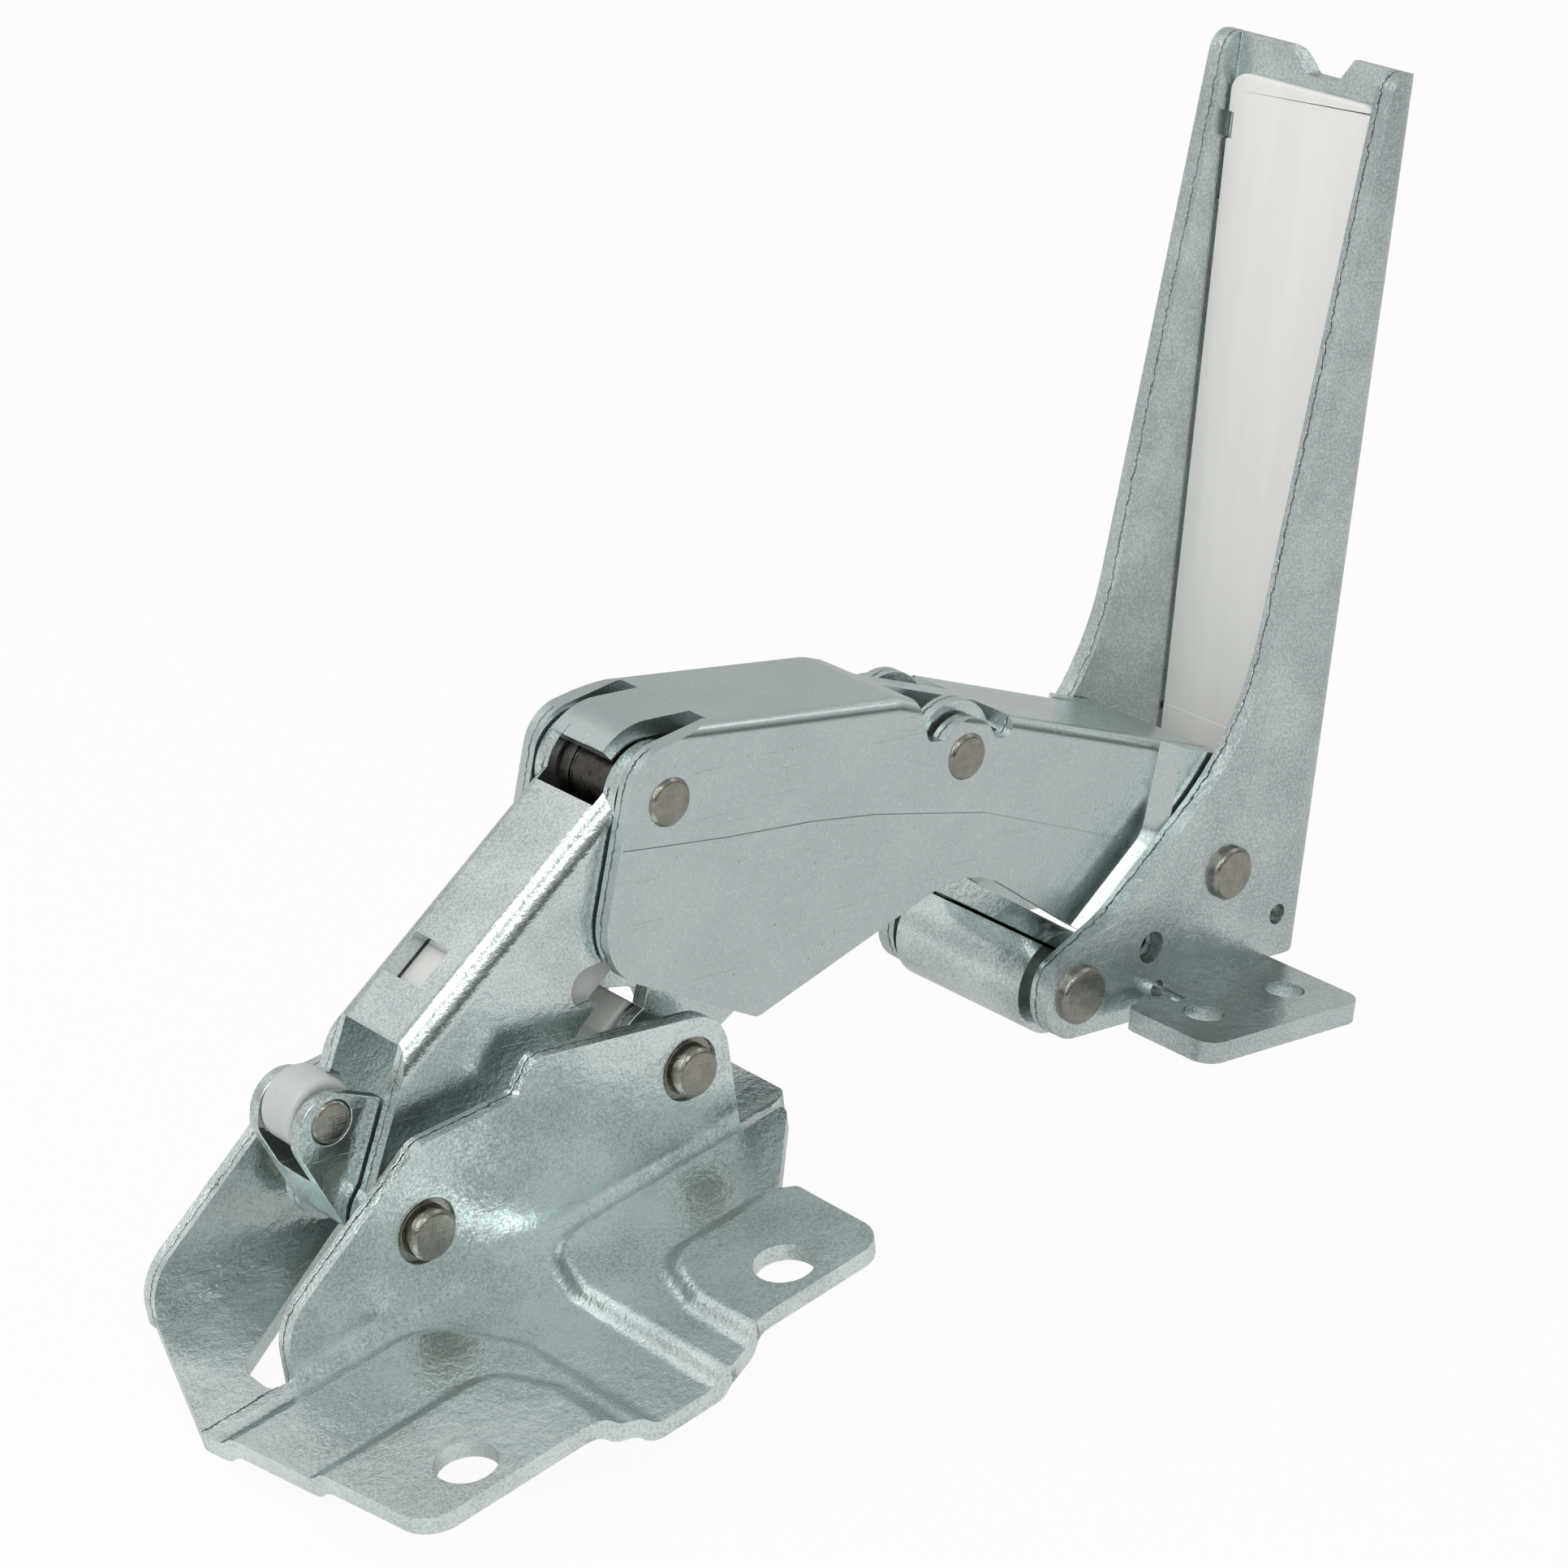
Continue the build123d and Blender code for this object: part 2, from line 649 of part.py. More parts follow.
# Inner lever: two walls joined along their back, slotted where the tree of joints is opened
def inner_lever():
    half = lever_width / 2
    inner = half - lever_sheet
    shoulder = (-61.4, 1.2)
    side = make_hull(
        disc(shoulder, 3.2).edges()
        + disc(inner_pivot, 5.3).edges()
        + disc(lever_pivot, 2.9).edges()
        + disc(door_rear_pivot, 2.9).edges()
    )
    side += disc(lever_pivot, 4.5)
    side += between(door_rear_pivot, moved(door_rear_pivot, 1.6, -0.4), 5.0)

    back = make_hull(disc(shoulder, 3.2).edges() + disc(inner_pivot, 5.3).edges())
    back -= make_hull(disc(shoulder, 3.2 - back_sheet).edges() + disc(inner_pivot, 5.3 - back_sheet).edges())
    line = Vector(inner_pivot[0] - shoulder[0], inner_pivot[1] - shoulder[1])
    away = line.normalized().rotate(Axis.Z, 90) * 15
    back &= outline(
        (*shoulder, 0),
        (*inner_pivot, 0),
        (*moved(inner_pivot, away.X, away.Y), 0),
        (*moved(shoulder, away.X, away.Y), 0),
    )
    body = both_walls(side, inner, half) + side_plate(back, -inner, inner)
    body -= rod(lever_pivot, arm_pin_radius + running_clearance, half + 1)
    rear_slot = between(
        moved(door_rear_pivot, 0.3, -0.2),
        moved(door_rear_pivot, 2.45, -0.5),
        door_pin_radius + rear_slot_clearance,
    )
    inner_slot = between(
        inner_pivot,
        moved(inner_pivot, 0.5, -0.12),
        inner_pin_radius + inner_slot_clearance,
    )
    return body - both_walls(rear_slot, inner - 1, half + 1) - both_walls(inner_slot, inner - 1, half + 1)


offset_to_mount = (-tab_hole_middle[0], -tab_hole_middle[1], bracket_sheet - tab_top)
pieces = {
    "bracket": bracket(),
    "cover_insert": cover_insert(),
    "middle_arm": middle_arm(),
    "lower_arm": lower_arm(),
    "door_plate": door_plate(),
    "eye_link": eye_link(),
    "inner_lever": inner_lever(),
    "yoke": yoke(),
    "roller": roller(),
    "slider": slider(),
    "closing_spring": closing_spring(),
    "elbow_sleeve": elbow_sleeve(),
    "main_pin": pin(main_pivot, main_pin_radius, bracket_width / 2 + 0.8),
    "link_pin": pin(link_pivot, link_pin_radius, bracket_width / 2 + 0.8),
    "lever_pin": pin(lever_pivot, arm_pin_radius, arm_width / 2 + 0.35),
    "elbow_pin": pin(elbow_pivot, arm_pin_radius, arm_width / 2 + 0.35),
    "inner_pin": pin(inner_pivot, inner_pin_radius, lever_width / 2 + 0.1),
    "door_front_pin": shoulder_pin(door_front_pivot, lower_width),
    "door_rear_pin": shoulder_pin(door_rear_pivot, lever_width),
    "roller_pin": pin(roller_pivot, roller_pin_radius, inside_width / 2 + 0.1),
}
os.makedirs("parts", exist_ok=True)
for name, piece in pieces.items():
    export_step(Pos(*offset_to_mount) * piece, f"parts/{name}.step")
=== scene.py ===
import bmesh
import bpy
import math
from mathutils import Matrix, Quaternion, Vector


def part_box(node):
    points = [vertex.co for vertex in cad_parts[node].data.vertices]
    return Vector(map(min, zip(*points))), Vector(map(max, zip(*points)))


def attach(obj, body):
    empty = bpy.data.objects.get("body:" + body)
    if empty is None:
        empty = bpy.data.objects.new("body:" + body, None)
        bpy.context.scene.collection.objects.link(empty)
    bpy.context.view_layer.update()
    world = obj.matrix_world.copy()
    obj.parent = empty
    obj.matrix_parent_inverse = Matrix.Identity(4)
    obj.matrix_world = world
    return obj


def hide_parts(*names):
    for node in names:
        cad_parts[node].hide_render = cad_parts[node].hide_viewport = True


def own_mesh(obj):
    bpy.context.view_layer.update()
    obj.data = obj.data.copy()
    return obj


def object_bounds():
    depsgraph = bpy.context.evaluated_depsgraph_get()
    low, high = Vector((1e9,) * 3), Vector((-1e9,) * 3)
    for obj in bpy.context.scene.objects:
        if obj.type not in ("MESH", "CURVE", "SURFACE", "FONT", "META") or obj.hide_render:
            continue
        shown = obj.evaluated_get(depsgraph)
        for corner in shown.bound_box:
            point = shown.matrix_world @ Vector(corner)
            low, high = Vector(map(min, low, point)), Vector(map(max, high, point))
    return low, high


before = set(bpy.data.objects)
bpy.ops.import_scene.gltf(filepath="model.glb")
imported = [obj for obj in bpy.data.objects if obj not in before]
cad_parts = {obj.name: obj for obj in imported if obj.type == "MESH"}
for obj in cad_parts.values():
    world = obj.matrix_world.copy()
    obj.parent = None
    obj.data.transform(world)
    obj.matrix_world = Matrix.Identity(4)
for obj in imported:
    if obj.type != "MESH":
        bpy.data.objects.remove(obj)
cad_low, cad_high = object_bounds()
MM = 0.001

# Camera: a 100 mm lens about 36 cm from the hinge, in front of its left end and a little above
# it, turned slightly about its own axis.
look_at = Vector((-0.04520, 0.01497, 0.02565))
camera_distance = 0.3624
camera_azimuth = math.radians(-44.07)
camera_elevation = math.radians(19.62)
camera_roll = math.radians(5.57)


def direction(azimuth, elevation):
    """Unit vector from the hinge towards an azimuth and an elevation in radians."""
    return Vector((
        math.sin(azimuth) * math.cos(elevation),
        -math.cos(azimuth) * math.cos(elevation),
        math.sin(elevation),
    ))


camera_data = bpy.data.cameras.new("camera")
camera_data.sensor_width = 36.0
camera_data.lens = 100.0
camera_data.clip_start = 0.01
camera_data.clip_end = 20.0
camera = bpy.data.objects.new("camera", camera_data)
bpy.context.scene.collection.objects.link(camera)
back = direction(camera_azimuth, camera_elevation)
camera.rotation_mode = "QUATERNION"
level = (-back).to_track_quat("-Z", "Y")
camera.rotation_quaternion = level @ Quaternion((0, 0, 1), camera_roll)
camera.location = look_at + back * camera_distance
bpy.context.scene.camera = camera
bpy.context.scene.view_settings.view_transform = "Standard"


# Table: a wide white board just under the hinge. The lens sees it nearly white, the metal reflects
# it a little brighter than it is lit, and it keeps a faint shadow of the hinge.
def nodes_of(material):
    """The nodes, the links and the main shader of a new material."""
    material.use_nodes = True
    tree = material.node_tree
    return tree.nodes, tree.links, tree.nodes["Principled BSDF"]


def math_node(tree, operation, first, second=0.0, third=0.0):
    """A Math node whose inputs are sockets or plain numbers; gives its output socket."""
    made = tree.nodes.new("ShaderNodeMath")
    made.operation = operation
    for socket, value in zip(made.inputs, (first, second, third)):
        if isinstance(value, bpy.types.NodeSocket):
            tree.links.new(value, socket)
        else:
            socket.default_value = value
    return made.outputs[0]


table_drop = 0.3 * MM
table_reach = 6.0
white_to_lens = 0.95
white_in_metal = 0.2
table_mesh = bpy.data.meshes.new("table")
bm = bmesh.new()
bmesh.ops.create_grid(bm, x_segments=1, y_segments=1, size=table_reach)
bmesh.ops.translate(bm, vec=(0, 0, cad_low.z - table_drop), verts=bm.verts)
bm.to_mesh(table_mesh)
bm.free()
table = bpy.data.objects.new("table", table_mesh)
bpy.context.scene.collection.objects.link(table)

table_paint = bpy.data.materials.new("table_white")
nodes, links, shader = nodes_of(table_paint)
shader.inputs["Base Color"].default_value = (0.8, 0.8, 0.8, 1)
shader.inputs["Roughness"].default_value = 0.9
shader.inputs["Specular IOR Level"].default_value = 0.1
white = nodes.new("ShaderNodeEmission")
white.inputs["Color"].default_value = (1, 1, 1, 1)
path = nodes.new("ShaderNodeLightPath")
tree = table_paint.node_tree
in_metal = math_node(tree, "MAXIMUM", path.outputs["Is Glossy Ray"], path.outputs["Is Transmission Ray"])
share = math_node(tree, "MULTIPLY", in_metal, white_in_metal)
share = math_node(tree, "MULTIPLY_ADD", path.outputs["Is Camera Ray"], white_to_lens, share)
blend = nodes.new("ShaderNodeMixShader")
links.new(share, blend.inputs["Fac"])
links.new(shader.outputs[0], blend.inputs[1])
links.new(white.outputs[0], blend.inputs[2])
links.new(blend.outputs[0], nodes["Material Output"].inputs["Surface"])
table_mesh.materials.append(table_paint)

# Studio: a pale room, lighter on the left and darker low down on the camera's side, where the
# folds of the sheet metal pick up their dark lines. Five soft boxes give the bright ones. The lens
# sees the room white.
wall_grey = (0.50, 0.51, 0.51)
left_wall_grey = (0.56, 0.57, 0.57)
shade_grey = (0.05, 0.053, 0.053)
room_white_in_metal = 0.04
world = bpy.data.worlds.new("studio")
bpy.context.scene.world = world
world.use_nodes = True
room = world.node_tree
links = room.links
place = room.nodes.new("ShaderNodeTexCoord")
split = room.nodes.new("ShaderNodeSeparateXYZ")
links.new(place.outputs["Generated"], split.inputs[0])


def span(tree, value, low, high, to_low=0.0, to_high=1.0):
    """Value carried smoothly from one range to another, and held at its ends."""
    made = tree.nodes.new("ShaderNodeMapRange")
    made.interpolation_type = "SMOOTHSTEP"
    made.inputs["From Min"].default_value = low
    made.inputs["From Max"].default_value = high
    made.inputs["To Min"].default_value = to_low
    made.inputs["To Max"].default_value = to_high
    tree.links.new(value, made.inputs["Value"])
    return made.outputs["Result"]


def colour_mix(tree, factor, first, second):
    """Mix of two colours, each a socket or three numbers; gives its output socket."""
    made = tree.nodes.new("ShaderNodeMix")
    made.data_type = "RGBA"
    tree.links.new(factor, made.inputs["Factor"])
    for name, value in (("A", first), ("B", second)):
        if isinstance(value, bpy.types.NodeSocket):
            tree.links.new(value, made.inputs[name])
        else:
            made.inputs[name].default_value = (*value, 1)
    return made.outputs["Result"]


left_side = span(room, split.outputs["X"], -0.5, 0.5, 1.0, 0.0)
camera_side = span(room, split.outputs["Y"], -0.6, -0.1, 1.0, 0.0)
low_down = span(room, split.outputs["Z"], 0.15, 0.55, 1.0, 0.0)
dark_side = math_node(room, "MULTIPLY", camera_side, low_down)
pale_walls = colour_mix(room, left_side, wall_grey, left_wall_grey)
walls = colour_mix(room, dark_side, pale_walls, shade_grey)
path = room.nodes.new("ShaderNodeLightPath")
in_metal = math_node(room, "MAXIMUM", path.outputs["Is Glossy Ray"], path.outputs["Is Transmission Ray"])
share = math_node(room, "MULTIPLY_ADD", in_metal, room_white_in_metal, path.outputs["Is Camera Ray"])
links.new(colour_mix(room, share, walls, (1, 1, 1)), room.nodes["Background"].inputs["Color"])
room.nodes["Background"].inputs["Strength"].default_value = 1.0


lamp_distance = 0.9


def soft_box(name, azimuth, elevation, size, power):
    """A square soft box that looks at the hinge from an azimuth and an elevation in degrees."""
    data = bpy.data.lights.new(name, "AREA")
    data.size = size
    data.energy = power
    lamp = bpy.data.objects.new(name, data)
    away = direction(math.radians(azimuth), math.radians(elevation))
    lamp.location = look_at + away * lamp_distance
    lamp.rotation_mode = "QUATERNION"
    lamp.rotation_quaternion = (-away).to_track_quat("-Z", "Y")
    bpy.context.scene.collection.objects.link(lamp)


soft_box("right_box", azimuth=62, elevation=46, size=0.25, power=0.25)
soft_box("fold_box", azimuth=-22, elevation=44, size=0.2, power=0.4)
soft_box("left_box", azimuth=-95, elevation=45, size=0.5, power=2.0)
soft_box("back_box", azimuth=-157, elevation=42, size=0.6, power=0.2)
soft_box("camera_box", azimuth=-60, elevation=28, size=0.6, power=1.5)


# Bracket: one strip of 2 mm sheet steel, blanked, folded into a channel and tumbled before it was
# zinc plated, so its faces have a fine grain and its cut edges show where the sheet tore.
def new_group(name, inputs, outputs):
    """A shader node group; gives it, its inputs inside and its outputs inside."""
    group = bpy.data.node_groups.new(name, "ShaderNodeTree")
    for socket, kind, value in inputs:
        made = group.interface.new_socket(socket, in_out="INPUT", socket_type=kind)
        made.default_value = value
    for socket, kind in outputs:
        group.interface.new_socket(socket, in_out="OUTPUT", socket_type=kind)
    return group, group.nodes.new("NodeGroupInput").outputs, group.nodes.new("NodeGroupOutput").inputs


def noise(tree, coordinates, scale, detail, roughness=0.5):
    """Noise with so many features per metre; gives its output socket."""
    made = tree.nodes.new("ShaderNodeTexNoise")
    made.inputs["Scale"].default_value = scale
    made.inputs["Detail"].default_value = detail
    made.inputs["Roughness"].default_value = roughness
    tree.links.new(coordinates, made.inputs["Vector"])
    return made.outputs["Fac"]


def stretched(tree, coordinates, scale):
    """Coordinates scaled apart along x, y and z; gives their output socket."""
    made = tree.nodes.new("ShaderNodeMapping")
    made.inputs["Scale"].default_value = scale
    tree.links.new(coordinates, made.inputs["Vector"])
    return made.outputs["Vector"]


# Fine speckle and soft clouds of the tumbled and plated face, and a mask of painted glints: small bright
# specks painted into its colour as painted highlights
grain, _, grain_out = new_group("tumbled_grain", [], [
    ("Tone", "NodeSocketFloat"),
    ("PaintedGlint", "NodeSocketFloat"),
    ("Height", "NodeSocketFloat"),
])
spot = grain.nodes.new("ShaderNodeTexCoord").outputs["Object"]
speckle = noise(grain, spot, 4200, 2, 0.7)
dents = noise(grain, spot, 1500, 2)
clouds = noise(grain, spot, 120, 4, 0.6)
grain.links.new(math_node(grain, "MULTIPLY_ADD", dents, 1.6, speckle), grain_out["Height"])
speckle_tone = span(grain, speckle, 0.3, 0.7, -0.5, 0.5)
cloud_tone = span(grain, clouds, 0.3, 0.7, -0.35, 0.35)
grain.links.new(math_node(grain, "ADD", speckle_tone, cloud_tone), grain_out["Tone"])
# Painted glints: sparse specks where the colour is painted lighter, a painted highlight standing in for
# light off tiny facets
grain.links.new(span(grain, noise(grain, spot, 4200, 1), 0.62, 0.72), grain_out["PaintedGlint"])

# Short scratches along and across the sheet, small pits, and the slow waves that folding leaves
marks, _, marks_out = new_group("handling_marks", [], [
    ("Scratch", "NodeSocketFloat"),
    ("Pit", "NodeSocketFloat"),
    ("Wave", "NodeSocketFloat"),
])
spot = marks.nodes.new("ShaderNodeTexCoord").outputs["Object"]
long_marks = noise(marks, stretched(marks, spot, (120, 2400, 2400)), 1.0, 2)
cross_marks = noise(marks, stretched(marks, spot, (2400, 900, 160)), 1.0, 2)
long_scratch = span(marks, long_marks, 0.66, 0.72)
cross_scratch = span(marks, cross_marks, 0.69, 0.74)
marks.links.new(math_node(marks, "MAXIMUM", long_scratch, cross_scratch), marks_out["Scratch"])
marks.links.new(span(marks, noise(marks, spot, 2300, 1), 0.77, 0.83), marks_out["Pit"])
marks.links.new(noise(marks, spot, 130, 3, 0.6), marks_out["Wave"])

# Cut edges of a channel's walls: clean near its inside, torn near its outside, with a ragged dark
# line between. Inner is the walls' distance from the Middle, and Web points out of the web.
sheared, sheared_in, sheared_out = new_group(
    "sheared_edge",
    [
        ("Inner", "NodeSocketFloat", 0.008),
        ("Middle", "NodeSocketFloat", 0.0169),
        ("Sheet", "NodeSocketFloat", 0.0015),
        ("Web", "NodeSocketVector", (0, 0, 1)),
    ],
    [("Torn", "NodeSocketFloat"), ("Line", "NodeSocketFloat")],
)
coordinates = sheared.nodes.new("ShaderNodeTexCoord")
spot = sheared.nodes.new("ShaderNodeSeparateXYZ")
sheared.links.new(coordinates.outputs["Object"], spot.inputs[0])
facing = sheared.nodes.new("ShaderNodeSeparateXYZ")
sheared.links.new(coordinates.outputs["Normal"], facing.inputs[0])
towards_web = sheared.nodes.new("ShaderNodeVectorMath")
towards_web.operation = "DOT_PRODUCT"
sheared.links.new(coordinates.outputs["Normal"], towards_web.inputs[0])
sheared.links.new(sheared_in["Web"], towards_web.inputs[1])
from_middle = math_node(sheared, "SUBTRACT", spot.outputs["Y"], sheared_in["Middle"])
off_middle = math_node(sheared, "ABSOLUTE", from_middle)
depth = math_node(sheared, "SUBTRACT", off_middle, sheared_in["Inner"])
edgewise = span(sheared, math_node(sheared, "ABSOLUTE", facing.outputs["Y"]), 0.15, 0.4, 1.0, 0.0)
not_web = span(sheared, towards_web.outputs["Value"], 0.80, 0.90, 1.0, 0.0)
not_outside = math_node(sheared, "LESS_THAN", depth, sheared_in["Sheet"])
in_wall = math_node(sheared, "MULTIPLY", span(sheared, depth, 0.0, 0.05 * MM), not_outside)
mask = math_node(sheared, "MULTIPLY", math_node(sheared, "MULTIPLY", edgewise, not_web), in_wall)
wander = noise(sheared, coordinates.outputs["Object"], 900, 3, 0.7)
torn_from = math_node(sheared, "MULTIPLY_ADD", wander, 0.9 * MM, 0.15 * MM)
past = math_node(sheared, "SUBTRACT", depth, torn_from)
torn = span(sheared, past, -0.05 * MM, 0.05 * MM)
sheared.links.new(math_node(sheared, "MULTIPLY", mask, torn), sheared_out["Torn"])
line = span(sheared, math_node(sheared, "ABSOLUTE", past), 0.03 * MM, 0.12 * MM, 1.0, 0.0)
sheared.links.new(math_node(sheared, "MULTIPLY", mask, line), sheared_out["Line"])


def use_group(tree, group):
    """Places a node group in a material; gives its node."""
    made = tree.nodes.new("ShaderNodeGroup")
    made.node_tree = group
    return made


zinc_dark = (0.44, 0.50, 0.495)
zinc_light = (0.83, 0.915, 0.905)
# Colour of the painted glints, a painted highlight in the zinc's colour
painted_glint_colour = (0.75, 0.8, 0.79)
pit_dark = (0.12, 0.13, 0.12)
scratch_grey = (0.6, 0.65, 0.64)
tear_dark = (0.07, 0.08, 0.08)


def zinc_sheet(name, shade, mottle, grain_bump, wave, roughness, inner, sheet, web):
    """Zinc-plated sheet of one folded piece, lighter with shade and more speckled with mottle.

    grain_bump and wave are heights in hundredths of a millimetre. The sheet's thickness and its
    walls' distance from the hinge's middle, inner, are in mm, and web points out of its web.
    """
    made = bpy.data.materials.new(name)
    nodes, links, shader = nodes_of(made)
    tree = made.node_tree
    fine = use_group(tree, grain)
    worn = use_group(tree, marks)
    edge = use_group(tree, sheared)
    edge.inputs["Inner"].default_value = inner * MM
    edge.inputs["Sheet"].default_value = sheet * MM
    edge.inputs["Web"].default_value = web
    tone = math_node(tree, "MULTIPLY_ADD", fine.outputs["Tone"], mottle, shade)
    colour = colour_mix(tree, tone, zinc_dark, zinc_light)
    for mask, strength, over in (
        # Painted highlight: the glint mask paints small bright specks into the colour
        (fine.outputs["PaintedGlint"], 0.5, painted_glint_colour),
        (worn.outputs["Pit"], 0.55, pit_dark),
        (worn.outputs["Scratch"], 0.3, scratch_grey),
        (edge.outputs["Line"], 0.8, tear_dark),
    ):
        colour = colour_mix(tree, math_node(tree, "MULTIPLY", mask, strength), colour, over)
    links.new(colour, shader.inputs["Base Color"])
    shader.inputs["Metallic"].default_value = 0.95
    matt = math_node(tree, "MULTIPLY_ADD", fine.outputs["Tone"], -0.12 * mottle, roughness)
    matt = math_node(tree, "MULTIPLY_ADD", edge.outputs["Torn"], 0.12, matt)
    links.new(matt, shader.inputs["Roughness"])
    height = math_node(tree, "MULTIPLY", fine.outputs["Height"], grain_bump)
    rough_edge = math_node(tree, "MULTIPLY", edge.outputs["Torn"], fine.outputs["Height"])
    for mask, rise in (
        (worn.outputs["Wave"], wave),
        (worn.outputs["Scratch"], -0.8),
        (worn.outputs["Pit"], -1.0),
        (edge.outputs["Line"], -4.0),
        (rough_edge, 3.0),
    ):
        height = math_node(tree, "MULTIPLY_ADD", mask, rise, height)
    lump = nodes.new("ShaderNodeBump")
    lump.inputs["Strength"].default_value = 1.0
    lump.inputs["Distance"].default_value = 0.01 * MM
    links.new(height, lump.inputs["Height"])
    links.new(lump.outputs["Normal"], shader.inputs["Normal"])
    return made


def dress(node, material, edge):
    """Gives a solid its finish, and rounds its sharp edges by edge in mm, as tumbling does."""
    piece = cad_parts[node]
    piece.data.materials.clear()
    piece.data.materials.append(material)
    for polygon in piece.data.polygons:
        polygon.use_smooth = True
    weld = piece.modifiers.new("weld", "WELD")
    weld.merge_threshold = 0.001 * MM
    flat = piece.modifiers.new("flat", "DECIMATE")
    flat.decimate_type = "DISSOLVE"
    flat.angle_limit = math.radians(0.5)
    rounding = piece.modifiers.new("rounding", "BEVEL")
    rounding.width = edge * MM
    rounding.segments = 3
    rounding.limit_method = "ANGLE"
    rounding.angle_limit = math.radians(35)
    level = piece.modifiers.new("level", "WEIGHTED_NORMAL")
    level.weight = 100


bracket_zinc = zinc_sheet(
    "bracket_zinc", shade=0.31, mottle=0.55, grain_bump=1.8, wave=12, roughness=0.22,
    inner=8.75, sheet=2.0, web=(1, 0, 0),
)
dress("bracket", bracket_zinc, 0.25)


# Cover insert: a thin off-white moulding, satin and faintly mottled, that snaps into the channel
# behind the arm.
def moulded(name, colour, warm, roughness, through):
    """Moulded plastic: two near tones, a faint orange peel, and light that goes through a little."""
    made = bpy.data.materials.new(name)
    nodes, links, shader = nodes_of(made)
    tree = made.node_tree
    spot = nodes.new("ShaderNodeTexCoord").outputs["Object"]
    flow = noise(tree, stretched(tree, spot, (700, 700, 60)), 1.0, 3)
    links.new(colour_mix(tree, span(tree, flow, 0.3, 0.7), colour, warm), shader.inputs["Base Color"])
    peel = noise(tree, spot, 2600, 2)
    links.new(span(tree, peel, 0.2, 0.8, roughness - 0.06, roughness + 0.06), shader.inputs["Roughness"])
    shader.inputs["Subsurface Weight"].default_value = through
    shader.inputs["Subsurface Radius"].default_value = (1, 1, 1)
    shader.inputs["Subsurface Scale"].default_value = 0.6 * MM
    lump = nodes.new("ShaderNodeBump")
    lump.inputs["Strength"].default_value = 0.35
    lump.inputs["Distance"].default_value = 0.01 * MM
    links.new(peel, lump.inputs["Height"])
    links.new(lump.outputs["Normal"], shader.inputs["Normal"])
    return made


cover_moulding = moulded(
    "cover_moulding", colour=(0.88, 0.88, 0.835), warm=(0.91, 0.905, 0.855), roughness=0.5, through=0.0,
)
dress("cover_insert", cover_moulding, 0.15)

# Foot of the insert: the same thin moulding goes on 3.5 mm below the solid, leaning with it, and
# closes the bracket's window behind the arm's heel.
insert_low, insert_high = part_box("cover_insert")
foot_drop = 3.5 * MM
foot_thickness = 1.0 * MM
foot_front = 13.3 * MM
foot_overlap = 1.0 * MM
foot_rounding = 0.15 * MM
foot_lean = 0.026
bm = bmesh.new()
bmesh.ops.create_cube(bm, size=1.0)
foot_width = insert_high[1] - insert_low[1]
bmesh.ops.scale(bm, vec=(foot_thickness, foot_width, foot_drop + foot_overlap), verts=bm.verts)
bmesh.ops.bevel(
    bm, geom=bm.edges[:], offset=foot_rounding, segments=3, profile=0.5, affect="EDGES", material=-1,
)
foot_middle = (
    foot_front + foot_thickness / 2,
    (insert_low[1] + insert_high[1]) / 2,
    insert_low[2] + (foot_overlap - foot_drop) / 2,
)
for corner in bm.verts:
    corner.co.x -= foot_lean * corner.co.z
bmesh.ops.translate(bm, vec=foot_middle, verts=bm.verts)
foot_mesh = bpy.data.meshes.new("insert_foot")
bm.to_mesh(foot_mesh)
bm.free()
insert_foot = bpy.data.objects.new("insert_foot", foot_mesh)
bpy.context.scene.collection.objects.link(insert_foot)
foot_mesh.materials.append(cover_moulding)
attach(insert_foot, "bracket")


# Rivet pins: cut from drawn steel rod and riveted over the walls, so their brownish end faces keep
# the scratches of cutting and handling.
def scratched_steel(name, dark, light, roughness):
    """Bare steel between two tones, blotched and crossed by fine turning scratches."""
    made = bpy.data.materials.new(name)
    nodes, links, shader = nodes_of(made)
    tree = made.node_tree
    spot = nodes.new("ShaderNodeTexCoord").outputs["Object"]
    along = noise(tree, stretched(tree, spot, (500, 3500, 3500)), 1.0, 3, 0.6)
    across = noise(tree, stretched(tree, spot, (3800, 3800, 700)), 1.0, 3, 0.6)
    scratches = math_node(tree, "ADD", span(tree, along, 0.35, 0.65), span(tree, across, 0.35, 0.65))
    blotch = noise(tree, spot, 900, 3, 0.6)
    tone = math_node(tree, "MULTIPLY_ADD", scratches, 0.25, span(tree, blotch, 0.25, 0.75, 0.0, 0.5))
    links.new(colour_mix(tree, tone, dark, light), shader.inputs["Base Color"])
    shader.inputs["Metallic"].default_value = 1.0
    links.new(span(tree, blotch, 0.2, 0.8, roughness - 0.08, roughness + 0.1), shader.inputs["Roughness"])
    lump = nodes.new("ShaderNodeBump")
    lump.inputs["Strength"].default_value = 0.6
    lump.inputs["Distance"].default_value = 0.012 * MM
    links.new(scratches, lump.inputs["Height"])
    links.new(lump.outputs["Normal"], shader.inputs["Normal"])
    return made


rivet_steel = scratched_steel("rivet_steel", (0.25, 0.243, 0.208), (0.40, 0.385, 0.335), 0.20)
for node in (
    "main_pin", "link_pin", "lever_pin", "elbow_pin",
    "inner_pin", "door_front_pin", "door_rear_pin", "roller_pin",
):
    dress(node, rivet_steel, 0.08)

# Middle arm: 1.5 mm sheet folded into a channel over the levers. It is smoother than the other
# sheets, with faint handling marks on its walls.
arm_zinc = zinc_sheet(
    "arm_zinc", shade=0.40, mottle=0.12, grain_bump=0.35, wave=6, roughness=0.27,
    inner=5.25, sheet=1.5, web=(0.12, 0, 0.99),
)
dress("middle_arm", arm_zinc, 0.22)

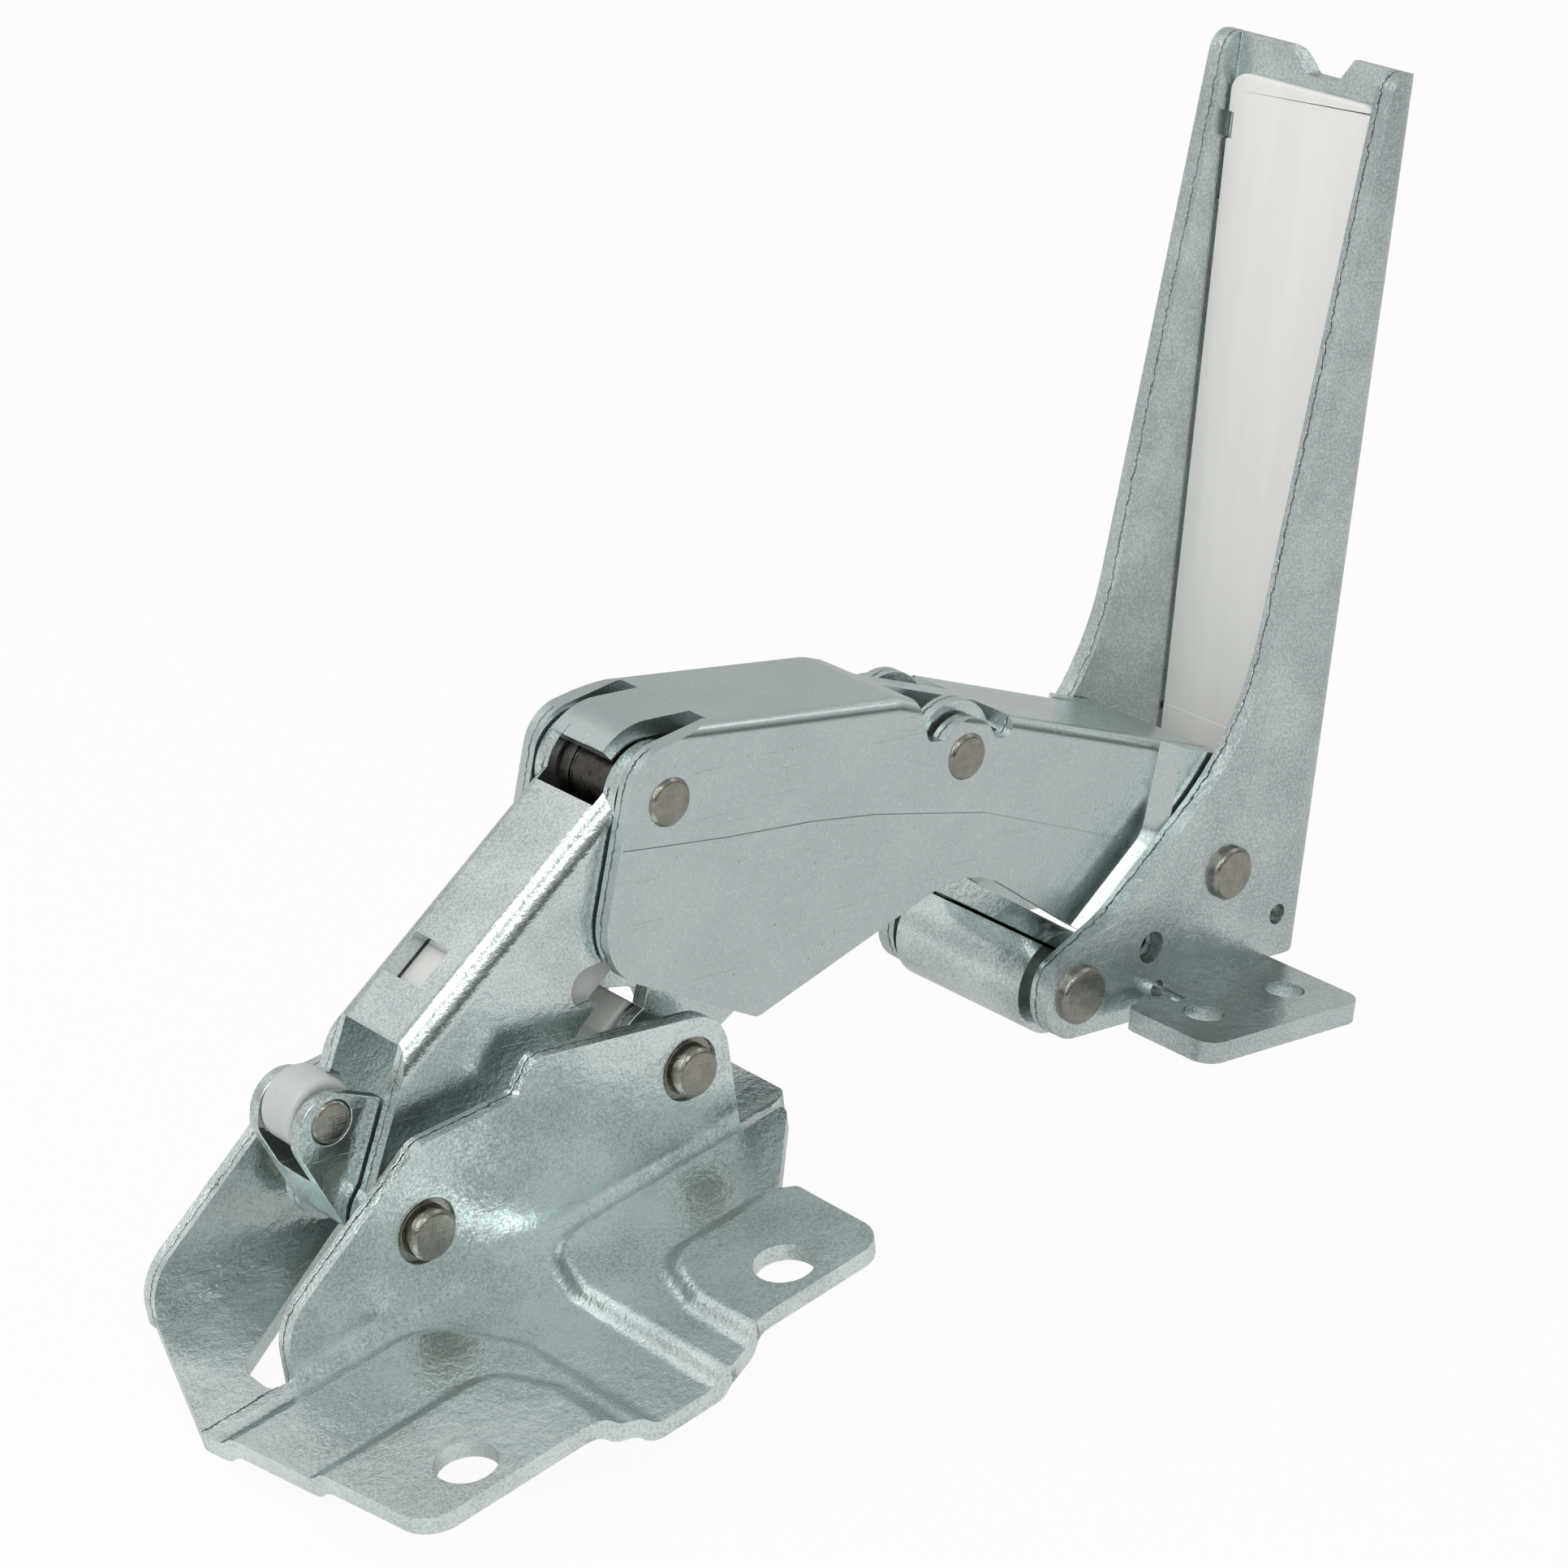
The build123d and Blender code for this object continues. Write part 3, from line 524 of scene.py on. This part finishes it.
# Elbow sleeve: a turned tube of darkened steel that sits on the elbow pin, between the lower arm's
# walls. The spring bears against it.
sleeve_steel = scratched_steel("sleeve_steel", (0.05, 0.046, 0.04), (0.17, 0.155, 0.135), 0.34)
dress("elbow_sleeve", sleeve_steel, 0.08)

# Lower arm: a narrower channel of the same sheet, which holds the spring and its slider under the
# web. Its broad fold catches the light.
lower_arm_zinc = zinc_sheet(
    "lower_arm_zinc", shade=0.58, mottle=0.7, grain_bump=2.6, wave=13, roughness=0.16,
    inner=3.5, sheet=1.5, web=(-0.68, 0, 0.733),
)
dress("lower_arm", lower_arm_zinc, 0.22)

# Slider: an off-white moulded block that the spring pushes along the lower arm. It shows through
# the web's window.
slider_moulding = moulded(
    "slider_moulding", colour=(0.80, 0.80, 0.77), warm=(0.84, 0.84, 0.80), roughness=0.42, through=0.2,
)
dress("slider", slider_moulding, 0.12)


# Slider leg and cam block: the slider's moulding goes on under the spring, to behind the round hole
# of the lower arm's wall, and a block of the same plastic is moulded around the plate's rear pin,
# between the inner lever's walls.
def side_block(name, corners, low, high):
    """Block with a side outline in mm (x, z) between two y in mm, all its edges rounded."""
    bm = bmesh.new()
    side = bm.faces.new([bm.verts.new((x * MM, low * MM, z * MM)) for x, z in corners])
    grown = bmesh.ops.extrude_face_region(bm, geom=[side])
    moved = [part for part in grown["geom"] if isinstance(part, bmesh.types.BMVert)]
    bmesh.ops.translate(bm, vec=(0, (high - low) * MM, 0), verts=moved)
    bmesh.ops.recalc_face_normals(bm, faces=bm.faces)
    bmesh.ops.bevel(
        bm, geom=bm.edges[:], offset=0.3 * MM, segments=3, profile=0.5, affect="EDGES", material=-1,
    )
    mesh = bpy.data.meshes.new(name)
    bm.to_mesh(mesh)
    bm.free()
    made = bpy.data.objects.new(name, mesh)
    bpy.context.scene.collection.objects.link(made)
    mesh.materials.append(cover_moulding)
    return made


leg_side = ((-66.96, 16.97), (-63.56, 13.3), (-66.5, 10.6), (-70.5, 10.6), (-74.2, 11.1), (-71.5, 14.2))
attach(side_block("slider_leg", leg_side, 13.65, 20.15), "slider")
block_side = ((-61.64, 10.04), (-56.4, 6.6), (-57.2, 2.9), (-61.5, 2.9), (-64.4, 7.6))
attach(side_block("cam_block", block_side, 13.8, 20.0), "door")


# Closing spring: cold-wound round wire between the slider and the elbow sleeve, as packed.
coil_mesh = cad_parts["closing_spring"].data.copy()
bm = bmesh.new()
bm.from_mesh(coil_mesh)
bmesh.ops.remove_doubles(bm, verts=bm.verts, dist=0.001 * MM)
for face in bm.faces:
    face.smooth = True
bm.to_mesh(coil_mesh)
bm.free()
spring_coil = bpy.data.objects.new("spring_coil", coil_mesh)
bpy.context.scene.collection.objects.link(spring_coil)
coil_mesh.materials.clear()
coil_mesh.materials.append(scratched_steel("spring_wire", (0.12, 0.12, 0.12), (0.26, 0.26, 0.26), 0.3))
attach(spring_coil, "lower")
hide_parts("closing_spring")
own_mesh(spring_coil)

# Door plate: 1.5 mm sheet stamped with two ears folded up and two wings raised in easy steps. It is
# the brightest and most speckled of the sheets, and stretched into slow waves by stamping.
door_plate_zinc = zinc_sheet(
    "door_plate_zinc", shade=0.80, mottle=0.8, grain_bump=3.4, wave=27, roughness=0.16,
    inner=7.0, sheet=1.5, web=(0.2588, 0, -0.9659),
)
dress("door_plate", door_plate_zinc, 0.3)

# Yoke: a small strap of thin sheet folded over the plate's front pin. It shows no torn edges, so
# theirs are set far outside it.
no_edges = 50.0
yoke_zinc = zinc_sheet(
    "yoke_zinc", shade=0.5, mottle=0.7, grain_bump=1.8, wave=16, roughness=0.15,
    inner=no_edges, sheet=1.0, web=(0, 1, 0),
)
dress("yoke", yoke_zinc, 0.15)

# Roller: a milky, glossy moulding that lets a little light through and turns on its own pin in the
# yoke.
roller_moulding = moulded(
    "roller_moulding", colour=(0.58, 0.60, 0.59), warm=(0.62, 0.64, 0.63), roughness=0.25, through=0.15,
)
dress("roller", roller_moulding, 0.12)

# Coupling link: a thick strap of zinc-plated steel rolled into an eye at each end. Its large eye is
# the barrel under the arm.
link_zinc = zinc_sheet(
    "link_zinc", shade=0.52, mottle=0.65, grain_bump=2.4, wave=16, roughness=0.16,
    inner=no_edges, sheet=1.0, web=(0, 1, 0),
)
dress("eye_link", link_zinc, 0.15)

# Inner lever: two walls of 1.5 mm sheet joined along their back, from the lever pin to the plate's
# rear pin.
lever_zinc = zinc_sheet(
    "lever_zinc", shade=0.6, mottle=0.35, grain_bump=2.4, wave=12, roughness=0.20,
    inner=3.3, sheet=1.5, web=(0, 1, 0),
)
dress("inner_lever", lever_zinc, 0.2)
